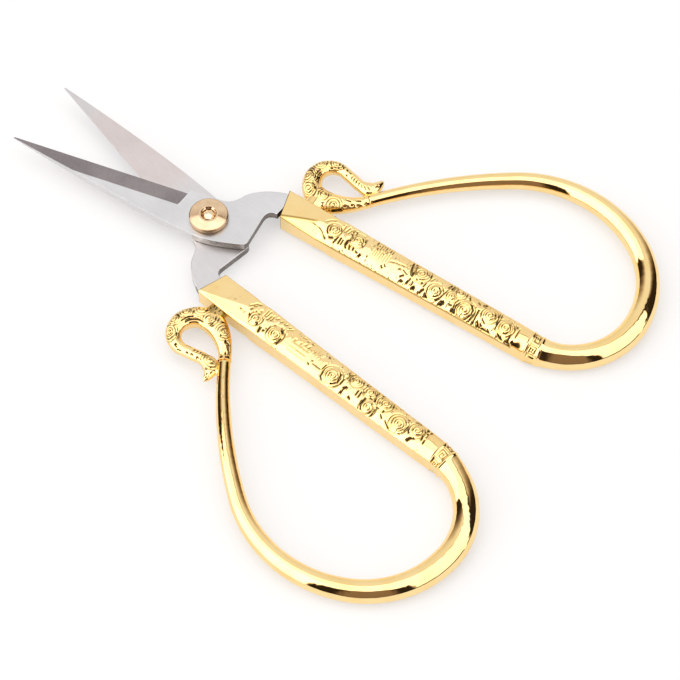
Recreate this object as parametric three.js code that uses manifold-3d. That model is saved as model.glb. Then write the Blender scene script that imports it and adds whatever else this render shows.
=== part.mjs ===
// Ornamental embroidery scissors, lying part open. Millimetres, +Z up.
// Two identical halves cross at a riveted pivot. Each half is a ground steel blade whose tang
// sits in a one-piece cast handle: ferrule, shank, finger loop and scroll.
// The origin lies on the pivot axis, at the flat underside of the rivet. +X points to the tips.
import * as THREE from 'three';
import { mergeVertices } from 'three/addons/utils/BufferGeometryUtils.js';
import Module from 'manifold-3d';

// Pose and fits
const REST_OPENING = 20.6; // between the two blades as they lie, in degrees
const STACK_GAP = 0.15; // between the faces of the pivot stack
const BORE_GAP = 0.1; // around the rivet, per side
const SEAT_GAP = 0.3; // around the tang and at the ferrule's face

// Blade, closed: its long axis runs from the pivot to the tip
const BLADE_REACH = 54.7; // pivot axis to tip
const PLATE_THICKNESS = 2.2;
const TIP_WIDTH = 0.4;
const TIP_CROSSING = 0.4; // how far the closed tips pass each other, per blade
const SPINE_HEIGHT = 6.0; // back of the blade above the long axis, at the pivot
const SPINE_FRONT = 17; // where the spine's curve starts to fall to the tip
const SPINE_BACK = 3.4; // where it starts to fall to the shoulder
const SHOULDER_BACK = 11.6; // shoulder behind the pivot
const SHOULDER_HEIGHT = 2.9;
const SHOULDER_FILLET = 1.2;
const NECK_FILLET = 2.4; // between the shoulder's side and the ferrule
const SEAT_STEP_OUTER = 0.5; // plate's corners inside the ferrule's corners
const SEAT_STEP_INNER = 0.2;
const BULGE_PULL = 3.7; // roundness of the neck's swell at the ferrule
const NECK_BACK = 4.6; // middle of the neck's outer side, behind the pivot and beside the long axis
const NECK_SIDE = 9.4;
const NECK_PULL_BACK = 6.0; // and where the swell's curve leads from there
const NECK_PULL_SIDE = 12.0;
const HEEL_BACK = 0.6; // end of the straight cutting edge
const HEEL_SIDE = 5.9;
const HEEL_PULL_BACK = 3.2;
const HEEL_PULL_SIDE = 6.2;
const BEVEL_WIDTH = 5.0; // ground flat along the cutting edge
const BEVEL_START = 8.3; // from the heel
const BEVEL_SKEW = 13; // slope of the bevel's end wall, in degrees
const EDGE_THICKNESS = 0.15; // steel left under the bevel at the edge

// Tang inside the handle
const TANG_WIDTH = 4.0;
const TANG_THICKNESS = 1.1;
const TANG_INSET = 0.2; // above the blade's inner face
const TANG_LENGTH = 18;
const LUG_DIAMETER = 1.6; // cast metal that fills the hole in the tang
const LUG_PLACE = 12; // from the ferrule's face

// Ferrule and shank of the handle
const FERRULE_BACK = 14.57; // middle of the ferrule's face, behind the pivot and beside the long axis
const FERRULE_SIDE = 11.68;
const SHANK_HEADING = 173.1; // from the ferrule towards the loop, in degrees
const FERRULE_SKEW = 16.5; // of the ferrule's face, in degrees
const FERRULE_WIDTH = 7.35;
const FERRULE_HEIGHT = 5.7;
const FERRULE_LENGTH = 11; // until the flat facets come to a point
const FERRULE_WALL = 4.0; // height of the side walls there
const FACET_EDGE = 0.3; // broken edges of the ferrule's face
const FACET_POINT = 0.4;
const CROWN_LENGTH = 13; // from the facets' point to the full crown
const SHANK_LENGTH = 69.1; // ferrule's face to the start of the loop
const SHANK_WIDTH = 6.9;
const SHANK_HEIGHT = 5.9;
const SHANK_WALL = 3.2;
const SHANK_FLAT = 2.0; // top of the crown
const CROWN_SWELL_RATIO = 0.25;

// Finger loop: four bends of a tapering rod
const LOOP_START_DIAMETER = 6.6;
const BEND_RADIUS = 18.1;
const BEND_ANGLE = 90.7;
const BEND_DIAMETER = 6.1;
const LOOP_END_RADIUS = 24.3;
const LOOP_END_ANGLE = 57.3;
const LOOP_END_DIAMETER = 5.5;
const LOOP_TOP_RADIUS = 31.1;
const LOOP_TOP_ANGLE = 66.3;
const LOOP_TOP_DIAMETER = 4.2;
const LOOP_BACK_RADIUS = 113;
const LOOP_BACK_ANGLE = 18.4;
const LOOP_BACK_DIAMETER = 3.1;

// Scroll at the end of the loop
const RING_DIAMETER = 3.4;
const RING_LENGTH = 0.8;
const SCROLL_RISE_RADIUS = 12.5;
const SCROLL_RISE_ANGLE = 53.6;
const SCROLL_FOOT_DIAMETER = 4.5;
const SCROLL_RADIUS = 4.8;
const SCROLL_ANGLE = 192;
const SCROLL_TOP_DIAMETER = 3.0;
const TAIL_LENGTH = 4.1;
const TAIL_DIAMETER = 2.9;
const TAIL_RADIUS = 4.3;
const TAIL_ANGLE = 100;
const TAIL_TIP_DIAMETER = 1.2;
const WEB_PLACE = 7.0; // web that carries the scroll, from the ferrule's face
const WEB_WIDTH = 7.0;
const WEB_HEIGHT = 3.8;
const TAIL_HEEL_PLACE = 3.4; // where the tail is fused to the rod, from the rod's end
const TAIL_HEEL_DIAMETER = 2.4;

// Pivot
const RIVET_DIAMETER = 3.0;
const RIVET_HEAD_DIAMETER = 3.7;
const RIVET_RECESS = 0.35; // of the upper end below the washer's land
const WASHER_DIAMETER = 9.5;
const WASHER_RIM = 1.2;
const WASHER_ROUND = 0.35; // of the rim's edges
const WASHER_CONE = 0.6; // rise from the rim to the land
const WASHER_FLAT_WIDTH = 0.5; // flat ring around the countersink
const SINK_DEPTH = 0.5;

// Facets
const SECTION_ANGLE = 7.5; // most that a bend turns between two sections, in degrees
const SECTION_STEP = 5; // and most that it runs
const TURNED_SIDES = 48;
const BAR_SIDES = 24;
const CURVE_STEPS = 8;
const OVERCUT = 1; // how far a cutter reaches past what it cuts
const WELD = 1e-4;

const wasm = await Module();
wasm.setup();

const { degToRad, lerp } = THREE.MathUtils;
const quarter = Math.PI / 2;
const shankAngle = degToRad(SHANK_HEADING);
const ferruleSkew = degToRad(FERRULE_SKEW);

// Places in the plan of a closed half
const ferrulePlace = new THREE.Vector2(-FERRULE_BACK, -FERRULE_SIDE);
const heel = new THREE.Vector2(-HEEL_BACK, -HEEL_SIDE);
const tip = new THREE.Vector2(BLADE_REACH, -TIP_CROSSING);

// Heights above the plane between the two blades
const plateLow = STACK_GAP / 2;
const plateHigh = plateLow + PLATE_THICKNESS;
const tangLow = plateLow + TANG_INSET;
const tangHigh = tangLow + TANG_THICKNESS;
const washerLow = plateHigh + STACK_GAP;
const washerHigh = washerLow + WASHER_RIM + WASHER_CONE;

const gilt = () => new THREE.MeshStandardMaterial({ color: 0xe8bb62, roughness: 0.18, metalness: 1 });
const steel = () => new THREE.MeshStandardMaterial({ color: 0xc6c5c8, roughness: 0.32, metalness: 1 });
const brass = () => new THREE.MeshStandardMaterial({ color: 0xc89a5a, roughness: 0.25, metalness: 1 });

function solid(geometry) {
  const bare = geometry.clone();
  bare.deleteAttribute('normal');
  bare.deleteAttribute('uv');
  const welded = mergeVertices(bare, WELD);
  const vertProperties = welded.attributes.position.array;
  const triVerts = Uint32Array.from(welded.index.array);
  return new wasm.Manifold(new wasm.Mesh({ numProp: 3, vertProperties, triVerts }));
}

function piece(name, manifold, material) {
  const { vertProperties, triVerts } = manifold.getMesh();
  const geometry = new THREE.BufferGeometry();
  geometry.setAttribute('position', new THREE.BufferAttribute(vertProperties, 3));
  geometry.setIndex(new THREE.BufferAttribute(triVerts, 1));
  geometry.computeVertexNormals();
  const mesh = new THREE.Mesh(geometry, material);
  mesh.name = name;
  return mesh;
}

function heading(angle, length = 1) {
  return new THREE.Vector2(Math.cos(angle), Math.sin(angle)).multiplyScalar(length);
}

// Upright round bar around a place in the plan
function bar(place, diameter, low, high) {
  const geometry = new THREE.CylinderGeometry(diameter / 2, diameter / 2, high - low, BAR_SIDES);
  geometry.rotateX(quarter);
  geometry.translate(place.x, place.y, (low + high) / 2);
  return solid(geometry);
}

// A section of the casting: its width and height, the height of its upright side walls, the width
// of its flat top, and how far the slope between wall and top swells towards the corner
function section(width, height, wall, flat, swell) {
  return { width, height, wall, flat, swell };
}

// A round rod is a section with twelve equal sides
function round(diameter) {
  const side = Math.tan(Math.PI / 12);
  return section(diameter, diameter, diameter * side, diameter * side, side);
}

function blend(from, to, t) {
  return Object.fromEntries(Object.keys(from).map((key) => [key, lerp(from[key], to[key], t)]));
}

// The section's corners, counter-clockwise, as pairs of sideways and upward distances
function corners({ width, height, wall, flat, swell }) {
  const low = [width / 2, wall / 2];
  const high = [flat / 2, height / 2];
  const outermost = [width / 2, height / 2];
  const mid = outermost.map((limit, k) => lerp((low[k] + high[k]) / 2, limit, swell));
  const right = [low, mid, high];
  const left = right.map(([across, up]) => [-across, up]).reverse();
  const upper = [...right, ...left];
  return [...upper, ...upper.map(([across, up]) => [-across, -up])];
}

// A walk in the plan goes through legs, straight or bent, each of which ends with a section
function straight(length, end) {
  return { length, sweep: 0, end };
}

function bend(radius, sweep, end) {
  return { radius, sweep: degToRad(sweep), length: radius * Math.abs(degToRad(sweep)), end };
}

function along({ place, angle }, leg, t) {
  if (leg.sweep === 0) {
    return { place: heading(angle, leg.length * t).add(place), angle };
  }
  const side = Math.sign(leg.sweep) * leg.radius;
  const turned = angle + leg.sweep * t;
  const centre = heading(angle + quarter, side).add(place);
  return { place: heading(turned - quarter, side).add(centre), angle: turned };
}

// Stations of a walk, in one list for each leg; the first list holds the start alone
function walk(start, legs) {
  const lists = [[{ skew: 0, ...start }]];
  for (const leg of legs) {
    const from = lists.at(-1).at(-1);
    const turns = Math.abs(leg.sweep) / degToRad(SECTION_ANGLE);
    const count = leg.sweep === 0 ? 1 : Math.ceil(Math.max(turns, leg.length / SECTION_STEP));
    const steps = Array.from({ length: count }, (_, i) => (i + 1) / count);
    lists.push(steps.map((t) => ({ ...along(from, leg, t), size: blend(from.size, leg.end, t), skew: 0 })));
  }
  return lists;
}

// Solid through the stations of a walk, with flat ends
function loft(lists) {
  const stations = lists.flat();
  const points = [];
  for (const { place, angle, size, skew } of stations) {
    const side = heading(angle + quarter + skew, 1 / Math.cos(skew));
    for (const [across, up] of corners(size)) {
      points.push(place.x + side.x * across, place.y + side.y * across, up);
    }
  }
  const ring = points.length / 3 / stations.length;
  const last = (stations.length - 1) * ring;
  const faces = [];
  for (let base = 0; base < last; base += ring) {
    for (let j = 0; j < ring; j += 1) {
      const a = base + j;
      const b = base + ((j + 1) % ring);
      faces.push(a, b, b + ring, a, b + ring, a + ring);
    }
  }
  for (let j = 1; j < ring - 1; j += 1) {
    faces.push(0, j + 1, j, last, last + j, last + j + 1);
  }
  const geometry = new THREE.BufferGeometry();
  geometry.setAttribute('position', new THREE.BufferAttribute(Float32Array.from(points), 3));
  geometry.setIndex(faces);
  return solid(geometry);
}

function bridge(from, to, size) {
  const span = to.clone().sub(from);
  return loft(walk({ place: from, angle: span.angle(), size }, [straight(span.length(), size)]));
}

// A place on the shank's centre line, behind the ferrule's face
function onShank(distance) {
  return heading(shankAngle, distance).add(ferrulePlace);
}

// A block along the shank, for the tang and for its socket
function shankBlock(from, to, width, low, high) {
  const geometry = new THREE.BoxGeometry(to - from, width, high - low);
  const middle = onShank((from + to) / 2);
  geometry.rotateZ(shankAngle);
  geometry.translate(middle.x, middle.y, (low + high) / 2);
  return solid(geometry);
}

// Outline of the blade's plate: tip, spine, shoulder, neck, ferrule, heel and straight edge
function plate() {
  const across = heading(shankAngle + quarter + ferruleSkew);
  const seat = heading(shankAngle + 2 * quarter + ferruleSkew, SEAT_GAP).add(ferrulePlace);
  const halfFace = FERRULE_WIDTH / 2 / Math.cos(ferruleSkew);
  const outer = across.clone().multiplyScalar(halfFace - SEAT_STEP_OUTER).add(seat);
  const inner = across.clone().multiplyScalar(SEAT_STEP_INNER - halfFace).add(seat);
  const shoulder = new THREE.Vector2(-SHOULDER_BACK, SHOULDER_HEIGHT);
  const fall = new THREE.Vector2(-SPINE_BACK, SPINE_HEIGHT);
  const shoulderTop = fall.clone().sub(shoulder).setLength(SHOULDER_FILLET).add(shoulder);
  const shape = new THREE.Shape();
  shape.moveTo(heel.x, heel.y);
  shape.lineTo(tip.x, tip.y);
  shape.lineTo(tip.x, tip.y + TIP_WIDTH);
  shape.quadraticCurveTo(SPINE_FRONT, SPINE_HEIGHT, 0, SPINE_HEIGHT);
  shape.quadraticCurveTo(fall.x, fall.y, shoulderTop.x, shoulderTop.y);
  shape.quadraticCurveTo(shoulder.x, shoulder.y, shoulder.x, shoulder.y - SHOULDER_FILLET);
  shape.lineTo(shoulder.x, inner.y + NECK_FILLET);
  shape.quadraticCurveTo(shoulder.x, inner.y, inner.x, inner.y);
  shape.lineTo(outer.x, outer.y);
  shape.bezierCurveTo(
    outer.x + BULGE_PULL,
    outer.y,
    -NECK_PULL_BACK,
    -NECK_PULL_SIDE,
    -NECK_BACK,
    -NECK_SIDE,
  );
  shape.quadraticCurveTo(-HEEL_PULL_BACK, -HEEL_PULL_SIDE, heel.x, heel.y);
  const settings = { depth: PLATE_THICKNESS, bevelEnabled: false, curveSegments: CURVE_STEPS };
  const geometry = new THREE.ExtrudeGeometry(shape, settings);
  geometry.translate(0, 0, plateLow);
  return solid(geometry);
}

// Wedge above the ground bevel, from its end wall to past the tip
function bevelCut() {
  const edge = tip.clone().sub(heel);
  const edgeAngle = edge.angle();
  const rise = ((PLATE_THICKNESS - EDGE_THICKNESS) / BEVEL_WIDTH) * OVERCUT;
  const shape = new THREE.Shape();
  shape.moveTo(0, EDGE_THICKNESS);
  shape.lineTo(BEVEL_WIDTH + OVERCUT, PLATE_THICKNESS + rise);
  shape.lineTo(-OVERCUT, PLATE_THICKNESS + rise);
  shape.lineTo(-OVERCUT, EDGE_THICKNESS);
  const settings = { depth: edge.length() - BEVEL_START + OVERCUT, bevelEnabled: false };
  const geometry = new THREE.ExtrudeGeometry(shape, settings);
  const run = heading(edgeAngle);
  const place = heading(edgeAngle, BEVEL_START).add(heel);
  const lean = heading(edgeAngle + quarter).addScaledVector(run, Math.tan(degToRad(BEVEL_SKEW)));
  const frame = new THREE.Matrix4().makeBasis(
    new THREE.Vector3(lean.x, lean.y, 0),
    new THREE.Vector3(0, 0, 1),
    new THREE.Vector3(run.x, run.y, 0),
  );
  frame.setPosition(place.x, place.y, plateLow);
  geometry.applyMatrix4(frame);
  return solid(geometry);
}

function blade() {
  const tang = shankBlock(-TANG_WIDTH, TANG_LENGTH, TANG_WIDTH, tangLow, tangHigh);
  const hole = bar(onShank(LUG_PLACE), LUG_DIAMETER + 2 * SEAT_GAP, plateLow, plateHigh);
  const bore = bar(new THREE.Vector2(), RIVET_DIAMETER + 2 * BORE_GAP, 0, washerLow);
  return plate().subtract(bevelCut()).add(tang).subtract(hole).subtract(bore);
}

function handle() {
  const brokenEdge = FERRULE_HEIGHT - FACET_EDGE;
  const face = section(FERRULE_WIDTH, FERRULE_HEIGHT, brokenEdge, FERRULE_WIDTH - FACET_EDGE, 0);
  const facetEnd = section(FERRULE_WIDTH, FERRULE_HEIGHT, FERRULE_WALL, FACET_POINT, 0);
  const crown = section(SHANK_WIDTH, SHANK_HEIGHT, SHANK_WALL, SHANK_FLAT, CROWN_SWELL_RATIO);
  const rodEnd = round(LOOP_BACK_DIAMETER);
  const start = { place: ferrulePlace, angle: shankAngle, size: face, skew: ferruleSkew };
  const back = bend(LOOP_BACK_RADIUS, LOOP_BACK_ANGLE, rodEnd);
  const rod = walk(start, [
    straight(FERRULE_LENGTH, facetEnd),
    straight(CROWN_LENGTH, crown),
    straight(SHANK_LENGTH - FERRULE_LENGTH - CROWN_LENGTH, round(LOOP_START_DIAMETER)),
    bend(BEND_RADIUS, BEND_ANGLE, round(BEND_DIAMETER)),
    bend(LOOP_END_RADIUS, LOOP_END_ANGLE, round(LOOP_END_DIAMETER)),
    bend(LOOP_TOP_RADIUS, LOOP_TOP_ANGLE, round(LOOP_TOP_DIAMETER)),
    back,
    straight(RING_LENGTH / 2, rodEnd),
  ]);
  const backStart = rod.at(-3).at(-1);
  const ringStart = rod.at(-2).at(-1);
  const scroll = walk({ ...ringStart, size: round(RING_DIAMETER) }, [
    straight(RING_LENGTH, round(RING_DIAMETER)),
    bend(SCROLL_RISE_RADIUS, -SCROLL_RISE_ANGLE, round(SCROLL_FOOT_DIAMETER)),
    bend(SCROLL_RADIUS, -SCROLL_ANGLE, round(SCROLL_TOP_DIAMETER)),
    straight(TAIL_LENGTH, round(TAIL_DIAMETER)),
    bend(TAIL_RADIUS, TAIL_ANGLE, round(TAIL_TIP_DIAMETER)),
  ]);
  const foot = scroll[2].at(-1);
  const tail = scroll.at(-1);
  const tailMiddle = tail[Math.floor(tail.length / 2)];
  const rodSide = along(backStart, back, 1 - TAIL_HEEL_PLACE / back.length);
  const webSize = section(WEB_WIDTH, WEB_HEIGHT, WEB_HEIGHT - FACET_EDGE, WEB_WIDTH - FACET_EDGE, 0);
  const web = bridge(onShank(WEB_PLACE), foot.place, webSize);
  const tailHeel = bridge(tailMiddle.place, rodSide.place, round(TAIL_HEEL_DIAMETER));
  const socketWidth = TANG_WIDTH + 2 * SEAT_GAP;
  const socketLow = tangLow - SEAT_GAP;
  const socketHigh = tangHigh + SEAT_GAP;
  const socket = shankBlock(-TANG_WIDTH, TANG_LENGTH + SEAT_GAP, socketWidth, socketLow, socketHigh);
  const lug = bar(onShank(LUG_PLACE), LUG_DIAMETER, socketLow - OVERCUT / 2, socketHigh + OVERCUT / 2);
  return loft(rod).add(loft(scroll)).add(web).add(tailHeel).subtract(socket).add(lug);
}

// Turned piece around the pivot axis, from pairs of radius and height
function turned(profile) {
  const geometry = new THREE.LatheGeometry(
    profile.map(([radius, height]) => new THREE.Vector2(radius, height)),
    TURNED_SIDES,
  );
  geometry.rotateX(quarter);
  return solid(geometry);
}

function washer() {
  const bore = RIVET_DIAMETER / 2 + BORE_GAP;
  const sink = RIVET_HEAD_DIAMETER / 2 + BORE_GAP;
  const rim = WASHER_DIAMETER / 2;
  return turned([
    [bore, washerLow],
    [rim - WASHER_ROUND, washerLow],
    [rim, washerLow + WASHER_ROUND],
    [rim, washerLow + WASHER_RIM - WASHER_ROUND],
    [rim - WASHER_ROUND, washerLow + WASHER_RIM],
    [sink + WASHER_FLAT_WIDTH, washerHigh],
    [sink, washerHigh],
    [bore, washerHigh - SINK_DEPTH],
    [bore, washerLow],
  ]);
}

// The rivet's lower end is set flush with its washer, its upper end is spread below the land
function rivet() {
  const shaft = RIVET_DIAMETER / 2;
  const head = RIVET_HEAD_DIAMETER / 2;
  const upperHead = lerp(head, shaft, RIVET_RECESS / SINK_DEPTH);
  return turned([
    [0, -washerHigh],
    [head, -washerHigh],
    [shaft, SINK_DEPTH - washerHigh],
    [shaft, washerHigh - SINK_DEPTH],
    [upperHead, washerHigh - RIVET_RECESS],
    [0, washerHigh - RIVET_RECESS],
  ]);
}

const upperHalf = new THREE.Group();
upperHalf.add(piece('upper_blade', blade(), steel()), piece('upper_handle', handle(), gilt()));
upperHalf.rotation.z = degToRad(REST_OPENING / 2);

// The lower half is the same half turned over about its long axis
const lowerHalf = new THREE.Group();
lowerHalf.add(piece('lower_blade', blade(), steel()), piece('lower_handle', handle(), gilt()));
lowerHalf.rotation.set(Math.PI, 0, degToRad(REST_OPENING / 2));

const upperWasher = piece('upper_washer', washer(), brass());
const lowerWasher = piece('lower_washer', washer(), brass());
lowerWasher.rotation.x = Math.PI;

const scissors = new THREE.Group();
scissors.add(upperHalf, lowerHalf, upperWasher, lowerWasher, piece('pivot_rivet', rivet(), brass()));
scissors.position.z = washerHigh;

export default scissors;
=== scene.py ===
# %% [markdown]
# # Embroidery scissors
# A pair of ornamental scissors lies part open on a white table: two ground steel blades, two gilt
# cast handles, and a brass rivet between two turned washers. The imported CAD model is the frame. It
# says where each piece is and what it turns with. Here each of its solids gets a finer skin, with
# the relief, the ground bevels and the turned rings that a machine part doesn't need.

# %% Load the frame
import math
import random

import bmesh
import bpy
import numpy as np
from mathutils import Matrix, Vector


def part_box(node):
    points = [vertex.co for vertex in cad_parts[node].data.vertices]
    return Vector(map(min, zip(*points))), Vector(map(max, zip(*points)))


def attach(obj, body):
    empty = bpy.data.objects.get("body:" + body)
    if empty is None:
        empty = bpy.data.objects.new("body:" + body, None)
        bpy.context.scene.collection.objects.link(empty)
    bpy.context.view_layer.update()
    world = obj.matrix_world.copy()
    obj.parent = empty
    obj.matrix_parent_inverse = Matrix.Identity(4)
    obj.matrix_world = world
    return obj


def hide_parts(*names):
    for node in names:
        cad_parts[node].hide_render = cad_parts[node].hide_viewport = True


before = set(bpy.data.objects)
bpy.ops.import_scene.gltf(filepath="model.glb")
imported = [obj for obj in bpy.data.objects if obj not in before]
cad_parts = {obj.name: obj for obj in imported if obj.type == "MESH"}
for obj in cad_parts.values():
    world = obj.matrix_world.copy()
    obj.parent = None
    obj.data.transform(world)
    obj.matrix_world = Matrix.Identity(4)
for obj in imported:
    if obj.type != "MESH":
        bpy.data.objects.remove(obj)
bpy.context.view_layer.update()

# %% [markdown]
# Both halves are one shape. It is modelled closed, in millimetres: the tip on +X, the handle on the
# -Y side, and the plane between the two blades at height zero. One matrix opens it by half of the
# opening angle and lifts it into place. The other half is the same shape turned over first.

# %% Places of the two halves
MM = 0.001
REST_OPENING = 20.6
stack_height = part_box("upper_washer")[1].z / MM
to_metres = Matrix.Scale(MM, 4)
lift = Matrix.Translation((0, 0, stack_height / 2))
opened = Matrix.Rotation(math.radians(REST_OPENING / 2), 4, "Z")
turned_over = Matrix.Rotation(math.pi, 4, "X")
PLACES = {
    "upper": to_metres @ lift @ opened,
    "lower": to_metres @ lift @ turned_over @ opened,
}
print("plane between the blades at", stack_height / 2, "mm")

# %% [markdown]
# ## Shader maths
# A finish is easier to read as a sum than as a drawing of nodes. A wire is a socket that can be
# added to and multiplied: each operator adds one Math node. Colours go through a Mix node, because
# a Math node would turn them grey. That node has sockets of one name for each kind of value, so the
# ones for colours are told by number. Every other node comes from the one method called node.

# %% Wires
TAU = 2 * math.pi
MIX_FIRST, MIX_SECOND, MIX_COLOUR = 6, 7, 2


class Wire:
    def __init__(self, tree, socket=None):
        self.tree = tree
        self.socket = socket

    def node(self, kind, settings=None, sockets=None, output=0):
        made = self.tree.nodes.new(kind)
        for name, value in (settings or {}).items():
            setattr(made, name, value)
        for key, value in (sockets or {}).items():
            if isinstance(value, Wire):
                self.tree.links.new(value.socket, made.inputs[key])
            else:
                made.inputs[key].default_value = value
        return Wire(self.tree, made.outputs[output] if made.outputs else None)

    def other(self, output):
        return Wire(self.tree, self.socket.node.outputs[output])

    def maths(self, operation, *values):
        return self.node("ShaderNodeMath", {"operation": operation}, dict(enumerate(values)))

    def soft_step(self, low, high):
        ends = {"Value": self, "From Min": low, "From Max": high}
        return self.node("ShaderNodeMapRange", {"interpolation_type": "SMOOTHSTEP"}, ends)

    def mix(self, first, second):
        sockets = {0: self, MIX_FIRST: first, MIX_SECOND: second}
        return self.node("ShaderNodeMix", {"data_type": "RGBA"}, sockets, MIX_COLOUR)

    def __add__(self, other):
        return self.maths("ADD", self, other)

    def __sub__(self, other):
        return self.maths("SUBTRACT", self, other)

    def __rsub__(self, other):
        return self.maths("SUBTRACT", other, self)

    def __mul__(self, other):
        return self.maths("MULTIPLY", self, other)

    __radd__ = __add__
    __rmul__ = __mul__


def new_finish(name):
    finish = bpy.data.materials.new(name)
    finish.use_nodes = True
    finish.node_tree.nodes.clear()
    return finish, Wire(finish.node_tree)


def noise(wire, place, scale, detail):
    return wire.node("ShaderNodeTexNoise", None, {"Vector": place, "Scale": scale, "Detail": detail})


def bump(wire, strength, distance, height):
    sockets = {"Strength": strength, "Distance": distance, "Height": height}
    return wire.node("ShaderNodeBump", None, sockets)


def metal(wire, colour, roughness, normal):
    sockets = {"Base Color": colour, "Metallic": 1.0, "Roughness": roughness, "Normal": normal}
    shader = wire.node("ShaderNodeBsdfPrincipled", None, sockets)
    wire.node("ShaderNodeOutputMaterial", None, {"Surface": shader})


print("wires ready")

# %% [markdown]
# ## Gilt
# The handles are cast zinc with a bright gold plating. Polished metal is mostly what it mirrors, so
# the finish has a warm colour, a very low roughness that clouds a little, and a faint waviness
# that bends the mirrored lines as a polished casting does. The mesh carries an attribute with how
# deep each point lies in the relief, and with painted dark lines along the crease, the ferrule's ridge
# and face and beside and under the web. There the gold turns ochre and then brown, and a little
# rougher: painted shade, standing in for the dark that polished hollows and corners mirror and hold.

# %% Gilt finish
GOLD = (0.99, 0.74, 0.355, 1)
DEEP_GOLD = (0.97, 0.69, 0.29, 1)
# Ochre, then brown: painted shade in the relief's hollows and along its painted dark lines.
OCHRE = (0.87, 0.59, 0.2, 1)
SHADE_BROWN = (0.032, 0.02, 0.011, 1)
CLOUD_SCALE = 160.0
RIPPLE_SCALE = 420.0
RIPPLE_STRENGTH = 0.1
RIPPLE_HEIGHT = 0.0004
CLOUD_EDGES = (0.35, 0.75)
OCHRE_EDGES = (0.05, 0.45)
SHADE_EDGES = (0.25, 0.92)
POLISH = 0.03
CLOUD_ROUGHNESS = 0.04
HOLLOW_ROUGHNESS = 0.3
gilt, wire = new_finish("gilt")
spot = wire.node("ShaderNodeTexCoord", output="Object")
cloud = noise(wire, spot, CLOUD_SCALE, detail=3.0)
ripple = noise(wire, spot, RIPPLE_SCALE, detail=1.0)
hollow_and_shade = wire.node("ShaderNodeAttribute", {"attribute_name": "hollow_and_shade"}, output="Fac")
# How much painted shade a point gets, from its depth and its painted dark lines.
painted_shade = hollow_and_shade.soft_step(*SHADE_EDGES)
colour = cloud.soft_step(*CLOUD_EDGES).mix(GOLD, DEEP_GOLD)
colour = hollow_and_shade.soft_step(*OCHRE_EDGES).mix(colour, OCHRE)
colour = painted_shade.mix(colour, SHADE_BROWN)
roughness = POLISH + cloud * CLOUD_ROUGHNESS + painted_shade * HOLLOW_ROUGHNESS
metal(wire, colour, roughness, bump(wire, RIPPLE_STRENGTH, RIPPLE_HEIGHT, ripple))
print("finish", gilt.name)

# %% [markdown]
# ## Steel
# The blades are ground, not polished. Their flats carry a fine satin grain along the blade, and the
# bevels carry coarser scratches across the edge, left by the grinding wheel; the bevels' darker, warmer
# colour is painted shade of the dark brown room they mirror. The inner faces have a warm patch of
# painted reflection. The sheared sides of the neck are dark, with painted shade darkest next to the
# handle. The spines are dull, and painted paler as a reflection of the white table. All are one noise
# texture, stretched along one direction by a Mapping node. Blades lie at different angles, so each
# half has its own steels with their own turn of the pattern.

# %% Steel finishes
FLAT = ((0.665, 0.662, 0.664, 1), (0.58, 0.575, 0.578, 1), 0.27, 0.10)
# Darker and warmer than the flat: painted shade of the dark brown room. The rougher scratches are the grind.
BEVEL = ((0.371, 0.326, 0.33, 1), (0.247, 0.216, 0.218, 1), 0.34, 0.3)
INNER = ((0.64, 0.618, 0.62, 1), (0.573, 0.548, 0.549, 1), 0.27, 0.10)
# A warm patch on the inner faces, from about 10 to 46 mm out from the pivot: painted reflection.
WARM_REFLECTION_PATCH = ((0.58, 0.515, 0.5, 1), (0.65, 0.585, 0.57, 1), (0.01, 0.018), (0.04, 0.046))
SHEARED = ((0.78, 0.72, 0.665, 1), (0.29, 0.262, 0.24, 1), 0.26, 0.3)
# Between about 20 and 11 mm behind the pivot the sheared sides are nearly black: painted shade next to the
# handle.
NECK_SHADE_PATCH = ((0.06, 0.05, 0.045, 1), (0.30, 0.265, 0.245, 1), (-0.03, -0.02), (-0.0114, -0.0108))
# Paler than the flat: painted reflection of the white table. The high roughness dulls the spine.
SPINE = ((0.8, 0.795, 0.795, 1), (0.74, 0.735, 0.735, 1), 0.75, 0.1)
EDGE_RISE, EDGE_RUN = 5.5, 55.3
GRAIN_STRETCH = (0.06, 1.0, 0.3)
GRAIN_SCALE = 5200.0
GRAIN_SHARE = 0.45
GRAIN_ROUGHNESS = 0.1
HAZE_SCALE = 120.0
TONE_EDGES = (0.3, 0.7)
SCRATCH_HEIGHT = 0.00003


def steel_finish(name, grain_angle, light, dark, roughness, scratch, painted_patch=None):
    finish, wire = new_finish(name)
    spot = wire.node("ShaderNodeTexCoord", output="Object")
    along = wire.node("ShaderNodeMapping", None, {"Vector": spot, "Rotation": (0, 0, -grain_angle)})
    stretched = wire.node("ShaderNodeMapping", None, {"Vector": along, "Scale": GRAIN_STRETCH})
    grain = noise(wire, stretched, GRAIN_SCALE, detail=3.0)
    haze = noise(wire, spot, HAZE_SCALE, detail=2.0)
    tone = grain.soft_step(*TONE_EDGES) * GRAIN_SHARE + haze.soft_step(*TONE_EDGES) * (1 - GRAIN_SHARE)
    colour = tone.mix(dark, light)
    # A painted patch between two places along the blade: the reflection on the inner faces, the shade on the
    # neck.
    if painted_patch:
        patch_dark, patch_light, start, end = painted_patch
        reach = wire.node("ShaderNodeSeparateXYZ", None, {0: along}, "X")
        cover = reach.soft_step(*start) * (1 - reach.soft_step(*end))
        colour = cover.mix(colour, tone.mix(patch_dark, patch_light))
    metal(wire, colour, roughness + grain * GRAIN_ROUGHNESS, bump(wire, scratch, SCRATCH_HEIGHT, grain))
    return finish


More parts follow.
